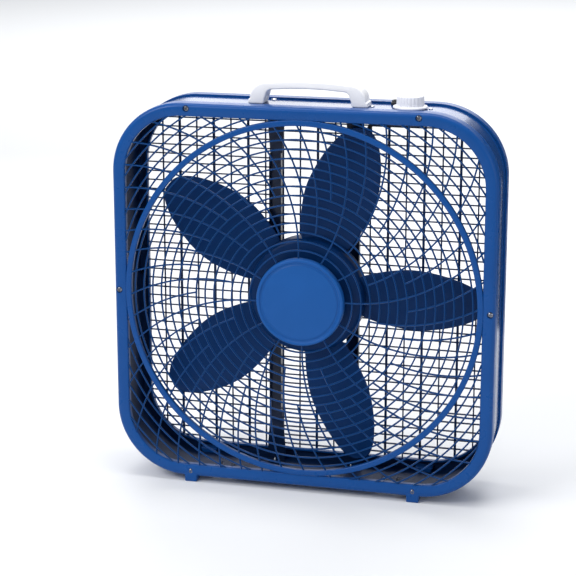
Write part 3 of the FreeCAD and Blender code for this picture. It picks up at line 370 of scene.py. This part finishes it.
finishes = {
    "front_bezel": caseBlue, "rear_bezel": caseBlue, "front_guard": caseBlue, "centre_badge": caseBlue,
    # the bezel screws take the darkened screw metal, painted shade of their dimples
    "front_bezel_screws": screwShadedDark, "rear_bezel_screws": screwShadedDark, "rear_guard": guardNavy,
    "housing_band": enamelBlue, "propeller": bladeNavy,
    "motor_strut_left": enamelNavy, "motor_strut_right": enamelNavy, "switch_cover": enamelNavy,
    "motor_front_shield": shieldZinc, "motor_rear_shield": shieldZinc, "stator_stack": laminations,
    "rotor_core": laminations, "stator_windings": copperWire, "front_bush": bronze, "rear_bush": bronze,
    "oil_felts": feltWool, "thrust_washers": washerFibre, "bush_retainers": springSteel,
    "motor_shaft": springSteel, "hub_clip": springSteel, "handle": knobWhite, "speed_knob": knobWhite,
    "switch_spindle": nylon, "switch_contact_wheel": nylon, "switch_body": blackMould,
    "switch_base": blackMould, "switch_terminals": terminalBrass, "run_capacitor": blackMould,
    "motor_lead": leadSheath, "lead_clips": blackMould, "cord_gland": blackMould,
}


def finishNodes():
    for name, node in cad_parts.items():
        material = finishes.get(name, screwZinc)
        painting(node, material)
    report("frame finished")


# ---- camera, light and floor ----

view = {
    "place": (0.5449, -2.1843, 0.6319),  # from the middle of the bezel face
    "yaw": 14.41, "pitch": 13.31,
    "lens": 109.3, "shift": -0.1007,
}


def makeCamera():
    data = bpy.data.cameras.new("camera")
    data.lens = view["lens"]
    data.sensor_width = 36.0
    data.shift_y = view["shift"]
    camera = bpy.data.objects.new("camera", data)
    bpy.context.collection.objects.link(camera)
    camera.location = Vector(view["place"]) + Vector((0, frontY, axisZ))
    camera.rotation_euler = (math.radians(90 - view["pitch"]), 0, math.radians(view["yaw"]))
    bpy.context.scene.camera = camera


def makeLamp(name, place, target, size, power, tint):
    data = bpy.data.lights.new(name, "AREA")
    data.shape = "RECTANGLE"
    data.size, data.size_y = size
    data.energy = power
    data.color = tint
    lamp = bpy.data.objects.new(name, data)
    bpy.context.collection.objects.link(lamp)
    lamp.location = place
    lamp.rotation_euler = (Vector(target) - Vector(place)).to_track_quat("-Z", "Y").to_euler()


studio = {
    "backdrop": colour(0.93, 0.94, 0.95), "ambient": colour(0.42, 0.43, 0.45),
    "key": 38, "fill": 9, "top": 26, "rear": 12, "wash": 190,
    "flagLeft": 0.34, "flagRight": 1.5, "flagBack": 0.8, "flagTop": 0.85,
}


def makeFlag():
    # a black card behind the right side, seen only in reflections
    wide, tall = studio["flagRight"] - studio["flagLeft"], studio["flagTop"]
    place = (studio["flagLeft"] + wide / 2, studio["flagBack"], tall / 2)
    bpy.ops.mesh.primitive_plane_add(size=1, location=place, rotation=(math.radians(90), 0, 0))
    flag = bpy.context.object
    flag.name = "flag"
    flag.scale = (wide, tall, 1)
    material, start, shader = blank("blackCard")
    feed(start, shader, "Base Color", colour(0.01, 0.012, 0.016))
    feed(start, shader, "Roughness", 1.0)
    flag.data.materials.append(material)
    flag.visible_camera = False
    flag.visible_diffuse = False
    flag.visible_shadow = False


def makeStudio():
    world = bpy.data.worlds.new("studio")
    world.use_nodes = True
    background = world.node_tree.nodes["Background"]
    sky = Signal(world.node_tree)
    seen = sky.node("LightPath", {}, {}, "Is Camera Ray")
    feed(sky, background, "Color", mixColours(sky, seen, studio["ambient"], studio["backdrop"]))
    bpy.context.scene.world = world
    bpy.context.scene.view_settings.view_transform = "Standard"
    middle = (0, 0, axisZ)
    makeLamp("key", (-1.5, -1.7, 1.9), middle, (1.5, 1.1), studio["key"], (1.0, 0.99, 0.98))
    makeLamp("fill", (2.1, -1.6, 0.9), middle, (1.2, 1.2), studio["fill"], (0.95, 0.97, 1.0))
    makeLamp("top", (0.0, -0.1, 2.3), middle, (1.6, 1.0), studio["top"], (1.0, 1.0, 1.0))
    makeLamp("rear", (-0.75, 2.0, 1.2), (-0.1, 0, 0.6), (2.4, 0.9), studio["rear"], (0.95, 0.95, 1.0))
    makeLamp("wash", (0.0, 4.4, 3.0), (0.0, 5.2, 0.0), (6.0, 4.0), studio["wash"], (1.0, 1.0, 1.0))
    deselect()
    bpy.ops.mesh.primitive_plane_add(size=14, location=(0, 0, 0))
    floor = bpy.context.object
    floor.name = "floor"
    material, start, shader = blank("paleFloor")
    feed(start, shader, "Base Color", colour(0.84, 0.85, 0.86))
    feed(start, shader, "Roughness", 0.6)
    floor.data.materials.append(material)
    makeFlag()
    report("studio ready")


finishNodes()
makeCamera()
makeStudio()

# ---- front guard: rings and curved spokes in one moulding ----

frontGuard = {
    "hubPlate": 60.5, "ribFirst": 70.8, "ribPitch": 12.43, "ribs": 14, "outerRibs": 5,
    "ribWidth": 2.4, "ribDepth": 3.5, "ribMiddle": 2.35, "spokeDepth": 3.2,
    "ring": 242, "ringHalf": 4, "ringDepth": 6,
    "swirlStart": 76, "swirlRound": 235, "firstSpoke": 2,  # a spoke's arc, and the first one's direction
    "cornerStraight": 165, "cornerRound": 79.4,
    "spokes": ((12, 0, None), (12, 15, 2), (24, 7.5, 6)),  # how many, their turn, and the rib they start from
    "spokeInto": 2,  # how far the longest spokes run into the hub plate
    "ringEdge": 1.8, "ringSteps": 200, "plateSteps": 96,
    "step": 7,  # length of one segment along a bar
}


def arcBar(radius, start, sweep, width, depth, middle, centre=(0, 0)):
    # a rounded bar carried round the centre, anticlockwise as seen from the front
    deselect()
    place = Vector((radius * mm, frontY + middle * mm, 0))
    whole = abs(sweep) >= 360
    bpy.ops.mesh.primitive_circle_add(vertices=8, radius=0.5 * mm, location=place,
                                      fill_type="NOTHING" if whole else "NGON")
    bar = settle(bpy.context.object)
    edit(bar)
    bpy.ops.transform.rotate(value=math.radians(22.5), orient_axis="Z", center_override=place)
    bpy.ops.transform.resize(value=(width, depth, 1), center_override=place)
    steps = max(1, round(math.radians(abs(sweep)) * radius / frontGuard["step"]))
    bpy.ops.mesh.spin(steps=steps, angle=math.radians(sweep), center=(0, 0, 0), axis=(0, 1, 0))
    finishEdit()
    weld(bar)
    turn = Matrix.Rotation(math.radians(-start), 4, "Y")
    bar.matrix_world = Matrix.Translation((centre[0] * mm, 0, axisZ + centre[1] * mm)) @ turn
    return settle(bar)


def openingReach(degrees):
    # from the axis to the edge of the rounded square opening
    straight, corner = frontGuard["cornerStraight"], frontGuard["cornerRound"]
    turn = math.radians(degrees)
    across, along = sorted((abs(math.cos(turn)), abs(math.sin(turn))))
    edge = straight + corner
    if edge * across / along <= straight:
        return edge / along
    toCentre = (across + along) * straight
    return toCentre + math.sqrt(toCentre ** 2 - 2 * straight ** 2 + corner ** 2)


def spokeAngle(radius):
    # how far a spoke has turned from its first direction at this distance from the axis
    start, bend = frontGuard["swirlStart"], frontGuard["swirlRound"]
    away = math.hypot(start, bend)
    share = (radius ** 2 + away ** 2 - bend ** 2) / (2 * radius * away)
    return math.degrees(math.atan2(bend, start) - math.acos(share))


def spoke(direction, inner):
    start, bend = frontGuard["swirlStart"], frontGuard["swirlRound"]
    near, far = frontGuard["ring"], frontGuard["cornerStraight"] * 2
    for _ in range(24):  # halves the stretch in which the spoke meets the opening's edge
        radius = (near + far) / 2
        if radius < openingReach(direction + spokeAngle(radius)):
            near = radius
        else:
            far = radius
    turn = math.radians(direction)
    middle = (start * math.cos(turn) - bend * math.sin(turn), start * math.sin(turn) + bend * math.cos(turn))
    ends = []
    for radius in (inner, near + 1):
        angle = math.radians(direction + spokeAngle(radius))
        ends.append(math.degrees(math.atan2(radius * math.sin(angle) - middle[1],
                                            radius * math.cos(angle) - middle[0])))
    sweep = (ends[1] - ends[0] + 180) % 360 - 180
    return arcBar(bend, ends[0], sweep, frontGuard["ribWidth"], frontGuard["spokeDepth"],
                  frontGuard["ribMiddle"], middle)


def makeFrontGuard():
    size = frontGuard
    bars = []
    for i in range(size["ribs"]):
        bars.append(arcBar(size["ribFirst"] + size["ribPitch"] * i, 0, 360, size["ribWidth"],
                           size["ribDepth"], size["ribMiddle"]))
    edge = size["cornerStraight"] + size["cornerRound"]
    for i in range(size["outerRibs"]):
        radius = size["ring"] + size["ribPitch"] * (i + 1)
        if radius < math.hypot(edge, size["cornerStraight"]):
            sweep = 90 - 2 * math.degrees(math.acos(edge / radius))
        else:
            away = size["cornerStraight"] * math.sqrt(2)
            share = (radius ** 2 + away ** 2 - size["cornerRound"] ** 2) / (2 * radius * away)
            sweep = 2 * math.degrees(math.acos(share))
        sweep += 0.6  # into the bezel's wall
        for corner in (45, 135, 225, 315):
            bars.append(arcBar(radius, corner - sweep / 2, sweep, size["ribWidth"], size["ribDepth"],
                               size["ribMiddle"]))
    for count, first, rib in size["spokes"]:
        inner = size["hubPlate"] - size["spokeInto"]
        if rib is not None:
            inner = size["ribFirst"] + rib * size["ribPitch"]
        for i in range(count):
            bars.append(spoke(size["firstSpoke"] + first + 360 / count * i, inner))
    low, high, deep = size["ring"] - size["ringHalf"], size["ring"] + size["ringHalf"], size["ringDepth"]
    # the bars take the darker blue, painted shade; the ring and hub plate of the same moulding keep the case
    # blue
    for bar in bars:
        painting(bar, shadedBarBlue)
    soft = size["ringEdge"]
    outline = [(low, deep)] + quarter(low + soft, soft, soft, 180, 5)
    outline += quarter(high - soft, soft, soft, 270, 5)
    outline += [(high, deep), (low, deep)]
    bars.append(painting(lathed([fromAxis(x, depth, 0) for x, depth in outline], size["ringSteps"],
                                (0, 0, axisZ)), caseBlue))
    plate = size["hubPlate"]
    outline = [(0, 0.7), (plate - 1, 0.7), (plate - 0.3, 1), (plate, 1.7), (plate, 4.1), (0, 4.1)]
    bars.append(painting(lathed([fromAxis(x, depth, 0) for x, depth in outline], size["plateSteps"],
                                (0, 0, axisZ)), caseBlue))
    guard = joined("frontGuard", bars)
    finished(guard, "case", None, ["front_guard"], 50)


# ---- centre badge ----

badge = {
    "steps": 128,
    # distance from the axis and depth: flat middle, step down to the groove, raised rim, outer edge
    "outline": ((0, -2.8), (50.4, -2.8), (51.0, -2.74), (51.5, -2.5), (51.9, -2.1), (52.3, -1.92),
                (53.3, -1.9), (54.3, -1.92), (54.7, -2.1), (55.1, -2.7), (55.5, -3.4), (56.1, -3.84),
                (56.9, -3.98), (57.7, -3.98), (58.6, -3.84), (59.3, -3.3), (59.8, -2.4), (60.1, -1.4),
                (60.2, -0.2), (60.2, 0.5), (0, 0.5)),
}


def makeBadge():
    disc = lathed([fromAxis(x, depth, 0) for x, depth in badge["outline"]], badge["steps"], (0, 0, axisZ))
    finished(joined("centreBadge", [disc]), "case", badgeBlue, ["centre_badge"], 40)


# ---- bezels ----

bezel = {
    "cornerRound": 97, "cornerSteps": 28, "flange": 22, "wall": 2.4,
    "outerBead": 6, "crown": 0.9, "innerBead": 2.6, "width": 17.5, "return": 9,
    "screwSide": 255.2, "screwAlong": 156.4, "dimple": 4.6, "dimpleDepth": 1.9,
    "footTop": 25, "footBottom": 17, "footDepth": 18, "footDrop": 8, "footUp": 10,
    "footInset": 0.2,
}
screwSpots = [(x * bezel["screwAlong"], z * bezel["screwSide"]) for x in (-1, 1) for z in (-1, 1)]
screwSpots += [(x * bezel["screwSide"], 0) for x in (-1, 1)]


def bezelProfile():
    # how far in from the outline, and the depth: round the outer bead, over the crown, into the opening
    outer, inner, wide = bezel["outerBead"], bezel["innerBead"], bezel["width"]
    points = []
    for i in range(7):
        turn = math.radians(15 * i)
        points.append((outer * (1 - math.cos(turn)), outer * (1 - math.sin(turn))))
    for share in (0.25, 0.5, 0.75):
        points.append((outer + (wide - outer - inner) * share, bezel["crown"] * share ** 2))
    for i in range(7):
        turn = math.radians(10 + 80 / 6 * i)
        points.append((wide - inner + inner * math.sin(turn), bezel["crown"] + inner * (1 - math.cos(turn))))
    return points


def makeBezel():
    size = bezel
    deselect()
    bpy.ops.mesh.primitive_plane_add(size=2 * half, location=fromAxis(0, size["flange"], 0),
                                     rotation=(math.radians(90), 0, 0))
    shell = settle(bpy.context.object)
    edit(shell)
    bpy.ops.mesh.bevel(affect="VERTICES", offset=size["cornerRound"] * mm, segments=size["cornerSteps"],
                       profile=0.5)
    bpy.ops.mesh.select_all(action="SELECT")
    forward = (size["flange"] - size["outerBead"]) * mm
    bpy.ops.mesh.extrude_region_move(TRANSFORM_OT_translate={"value": (0, -forward, 0)})
    before = (0, size["outerBead"])
    for inward, depth in bezelProfile():
        if inward > before[0]:
            bpy.ops.mesh.inset(thickness=(inward - before[0]) * mm, depth=(before[1] - depth) * mm)
        before = (inward, depth)
    back = (size["return"] - before[1]) * mm
    bpy.ops.mesh.extrude_region_move(TRANSFORM_OT_translate={"value": (0, back, 0)})
    finishEdit()
    selectFaces(shell, lambda face: len(face.vertices) > 4)
    bpy.ops.object.mode_set(mode="EDIT")
    bpy.ops.mesh.delete(type="ONLY_FACE")
    finishEdit()
    modify(shell, "SOLIDIFY", thickness=size["wall"] * mm, offset=-1, use_even_offset=True)
    drills = []
    for x, z in screwSpots:
        bpy.ops.mesh.primitive_cylinder_add(vertices=40, radius=size["dimple"] * mm, depth=8 * mm,
                                            location=fromAxis(x, size["dimpleDepth"] - 4, z),
                                            rotation=(math.radians(90), 0, 0))
        drills.append(settle(bpy.context.object))
    drill = joined("drill", drills)
    modify(shell, "BOOLEAN", operation="DIFFERENCE", object=drill, solver="EXACT")
    bpy.data.objects.remove(drill)
    parts = [shell]
    for side in (-1, 1):
        parts.append(makeFoot(side * size["screwAlong"]))
    return parts


def makeFoot(x):
    size = bezel
    deselect()
    tall = size["footDrop"] + size["footUp"]
    ground = -(half / mm + size["footDrop"])
    place = fromAxis(x, size["footDepth"] / 2 + size["footInset"], ground + tall / 2)
    deep = size["footDepth"] - 2 * size["footInset"]
    bpy.ops.mesh.primitive_cube_add(size=1, location=place,
                                    scale=(size["footTop"] * mm, deep * mm, tall * mm))
    foot = settle(bpy.context.object)
    edit(foot)
    bpy.ops.mesh.bisect(plane_co=fromAxis(x, 0, ground + size["footDrop"]), plane_no=(0, 0, 1))
    finishEdit()
    for vertex in foot.data.vertices:
        vertex.select = vertex.co.z < axisZ + (ground + 1) * mm
    bpy.ops.object.mode_set(mode="EDIT")
    bpy.ops.mesh.select_mode(type="VERT")
    bpy.ops.transform.resize(value=(size["footBottom"] / size["footTop"], 1, 1),
                             center_override=fromAxis(x, 0, ground))
    finishEdit()
    modify(foot, "BEVEL", width=1.4 * mm, segments=3, limit_method="ANGLE", angle_limit=math.radians(30))
    return foot


def makeBezels():
    front = joined("frontBezel", makeBezel())
    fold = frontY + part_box("rear_bezel")[1].y  # twice the middle plane between the two
    about = Matrix.Translation((0, fold, 0)) @ Matrix.Rotation(math.pi, 4, "Z")
    rear = twin(front, about)
    rear.name = "rearBezel"
    finished(front, "case", caseBlue, ["front_bezel"])
    finished(rear, "case", caseBlue, ["rear_bezel"])


# ---- rear guard ----

rearGuard = {
    "column": 24.7, "row": 12.9, "thin": 1.8, "heavy": 3.2, "front": 99.5, "deep": 3.5,
    "into": 0.9,  # how far a bar runs into the bezel's wall
}


def barHalfLength(offset):
    straight, corner = frontGuard["cornerStraight"], frontGuard["cornerRound"]
    past = max(0, abs(offset) - straight)
    return straight + math.sqrt(corner ** 2 - past ** 2) + rearGuard["into"]


def straightBar(x, z, wide, tall, deep):
    deselect()
    middle = rearGuard["front"] + rearGuard["deep"] / 2
    bpy.ops.mesh.primitive_cube_add(size=1, location=fromAxis(x, middle, z),
                                    scale=(wide * mm, deep * mm, tall * mm))
    bar = settle(bpy.context.object)
    edit(bar)
    bpy.ops.mesh.bevel(affect="EDGES", offset=0.55 * mm, segments=2)
    finishEdit()
    return bar


def makeRearGuard():
    size = rearGuard
    bars = []
    for n in range(-9, 10):
        x = n * size["column"]
        wide = size["thin"] if n % 2 else size["heavy"]
        bars.append(straightBar(x, 0, wide, 2 * barHalfLength(x), size["deep"]))
    for n in range(-19, 19):
        z = (n + 0.5) * size["row"]
        bars.append(straightBar(0, z, 2 * barHalfLength(z), size["thin"], size["deep"] - 0.4))
    finished(joined("rearGuard", bars), "case", guardNavy, ["rear_guard"])


# ---- propeller ----

propeller = {
    "hub": 80, "hubFront": 30, "hubBack": 60, "wall": 2.4, "boss": 11, "bore": 4.02,
    "middle": 46, "camber": 5, "thick": 2.1, "blades": 5,
    # distance from the axis, half of the chord, drop from front edge to back edge
    "stations": ((72, 31, 24), (88, 36.5, 28), (105, 41.5, 31), (125, 45.3, 33.2), (145, 47.5, 34),
                 (165, 45.5, 32), (185, 41.5, 28.5), (200, 37, 24.8), (213, 32, 21), (223, 27.3, 17.4),
                 (231, 22.3, 13.8), (237.5, 16.5, 10), (241.5, 10, 6.5), (242.6, 4.5, 3.5)),
    "across": 12,
}


def makeBlade():
    size = propeller
    stations, across = size["stations"], size["across"]
    deselect()
    bpy.ops.mesh.primitive_grid_add(x_subdivisions=len(stations) - 1, y_subdivisions=across, size=2)
    blade = settle(bpy.context.object)
    for vertex in blade.data.vertices:
        x, halfChord, drop = stations[round((vertex.co.x + 1) / 2 * (len(stations) - 1))]
        share = vertex.co.y
        lift = size["camber"] * halfChord / 48 * (1 - share ** 2)
        vertex.co = fromAxis(x, size["middle"] - share * drop / 2 + lift, share * halfChord)
    weld(blade)
    modify(blade, "SOLIDIFY", thickness=size["thick"] * mm, offset=0, use_even_offset=True)
    modify(blade, "SUBSURF", levels=2, render_levels=2)
    return blade


def makePropeller():
    size = propeller
    hub, front, back, wall = size["hub"], size["hubFront"], size["hubBack"], size["wall"]
    outline = [(0, front), (hub - 9, front)]
    outline += [(x, depth) for x, depth in quarter(hub - 8, front + 8, 8, -78, 8)[:-1]][:-1]
    outline += [(hub, front + 9), (hub, back - 0.6), (hub - 0.6, back)]
    outline += [(hub - wall, back), (hub - wall, front + 9)]
    outline += [(hub - wall - 1, front + 5.4), (hub - wall - 4, front + 3.2), (hub - 12, front + 2.4),
                (size["boss"] + 2, front + 2.4), (size["boss"], front + 5), (size["boss"], 52.8),
                (size["bore"], 52.8), (size["bore"], 35.5), (0, 35.5)]
    parts = [lathed([fromAxis(x, depth, 0) for x, depth in outline], 120, (0, 0, axisZ))]
    blade = makeBlade()
    turnBy = 360 / size["blades"]
    for i in range(1, size["blades"]):
        middle = Vector((0, 0, axisZ))
        turn = Matrix.Rotation(math.radians(-turnBy * i), 4, "Y")
        parts.append(twin(blade, Matrix.Translation(middle) @ turn @ Matrix.Translation(-middle)))
    parts.append(blade)
    for i in range(10):  # stiffening webs inside the hub
        deselect()
        middle = (size["boss"] + hub - wall) / 2
        bpy.ops.mesh.primitive_cube_add(size=1, location=fromAxis(middle, front + 9, 0),
                                        scale=((hub - size["boss"]) * mm, 14 * mm, 1.6 * mm))
        web = settle(bpy.context.object)
        edit(web)
        bpy.ops.mesh.bevel(affect="EDGES", offset=0.4 * mm, segments=2)
        finishEdit()
        turn = Matrix.Rotation(math.radians(36 * i + 18), 4, "Y")
        about = Vector((0, 0, axisZ))
        web.matrix_world = Matrix.Translation(about) @ turn @ Matrix.Translation(-about)
        parts.append(settle(web))
    finished(joined("propellerMoulding", parts), "rotor", bladeNavy, ["propeller"], 40)


# ---- carry handle ----

handle = {
    "foot": 82, "grip": 60, "top": 32, "under": 22, "front": 38, "width": 28,
    "shoulder": 22, "inner": 8, "edge": 2.6,
    "lean": 3,  # how far the legs lean in, foot to shoulder
}


def makeHandle():
    size = handle
    base = (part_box("handle")[0].z - axisZ) / mm
    foot, grip, top, under = size["foot"], size["grip"], size["top"], size["under"]
    shoulder, inner = size["shoulder"], size["inner"]
    outer = [(foot, 0), (foot - 1.2, 6)]
    lean = size["lean"]
    outer += quarter(foot - lean - shoulder, top - lean - shoulder, shoulder, 0, 8)
    outer += [(30, top - 0.7), (0, top)]
    inside = [(grip, 0), (grip - 1.5, 8)]
    inside += quarter(grip - lean - inner, under - 2.4 - inner, inner, 0, 6)
    inside += [(24, under - 0.6), (0, under)]
    mirrored = [(-x, z) for x, z in reversed(outer[:-1])]
    back = [(-x, z) for x, z in inside[:-1]] + [inside[-1]] + list(reversed(inside[:-1]))
    points = [fromAxis(x, size["front"], base + z) for x, z in outer + mirrored + back]
    loop = traced(points)
    edit(loop)
    bpy.ops.mesh.edge_face_add()
    finishEdit()
    edit(loop)
    bpy.ops.mesh.extrude_region_move(TRANSFORM_OT_translate={"value": (0, size["width"] * mm, 0)})
    finishEdit()
    weld(loop)
    modify(loop, "BEVEL", width=size["edge"] * mm, segments=5, limit_method="ANGLE",
           angle_limit=math.radians(60))
    finished(joined("carryHandle", [loop]), "case", gripWhite, ["handle"], 30)


# ---- speed knob ----

knob = {
    "skirt": 22.9, "skirtHigh": 3.6, "round": 18.6, "low": 0.8, "high": 17.5, "flutes": 24, "fluteDeep": 0.9,
    "dome": 1.6,
    # each step up the grip, and how much of the width it keeps
    "domeSteps": ((0.55, 0.987), (0.4, 0.975), (0.3, 0.955), (0.25, 0.8), (0.1, 0.4)), "draft": 0.965,
}


def makeKnob():
    size = knob
    low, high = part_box("speed_knob")
    middle = Vector(((low.x + high.x) / 2, (low.y + high.y) / 2, low.z - size["low"] * mm))
    skirt = [(0, size["low"]), (size["skirt"] - 0.5, size["low"]), (size["skirt"], size["low"] + 0.5),
             (size["skirt"], 2.4), (size["skirt"] - 0.4, 3.1), (size["skirt"] - 1.4, size["skirtHigh"]),
             (size["round"] - 2, 4.2), (0, 4.2)]
    parts = [lathed([middle + Vector((x * mm, 0, z * mm)) for x, z in skirt], 96, middle, (0, 0, 1))]
    around = size["flutes"] * 8
    deselect()
    bpy.ops.mesh.primitive_circle_add(vertices=around, radius=size["round"] * mm, fill_type="NGON",
                                      location=middle + Vector((0, 0, 3 * mm)))
    grip = settle(bpy.context.object)
    for vertex in grip.data.vertices:
        place = vertex.co - middle
        turn = math.atan2(place.y, place.x) * size["flutes"]
        dip = max(0, math.cos(turn)) ** 1.5 * size["fluteDeep"] / size["round"]
        vertex.co.x = middle.x + place.x * (1 - dip)
        vertex.co.y = middle.y + place.y * (1 - dip)
    edit(grip)
    tall = size["high"] - size["dome"] - 3
    for up, share in ((tall, size["draft"]),) + size["domeSteps"]:
        bpy.ops.mesh.extrude_region_move(TRANSFORM_OT_translate={"value": (0, 0, up * mm)})
        bpy.ops.transform.resize(value=(share, share, 1), center_override=middle)
    finishEdit()
    parts.append(grip)
    deselect()
    reach = size["round"] - 4
    place = middle + Vector((0, -(reach + 3) / 2 * mm, (size["high"] - 0.4) * mm))
    bpy.ops.mesh.primitive_cube_add(size=1, scale=(2.2 * mm, (reach - 3) * mm, 2 * mm), location=place)
    ridge = settle(bpy.context.object)
    edit(ridge)
    bpy.ops.mesh.bevel(affect="EDGES", offset=0.5 * mm, segments=3)
    finishEdit()
    parts.append(ridge)
    finished(joined("speedKnob", parts), "knob", knobWhite, ["speed_knob"], 32)


makeFrontGuard()
makeBadge()
makeBezels()
makeRearGuard()
makePropeller()
makeHandle()
makeKnob()
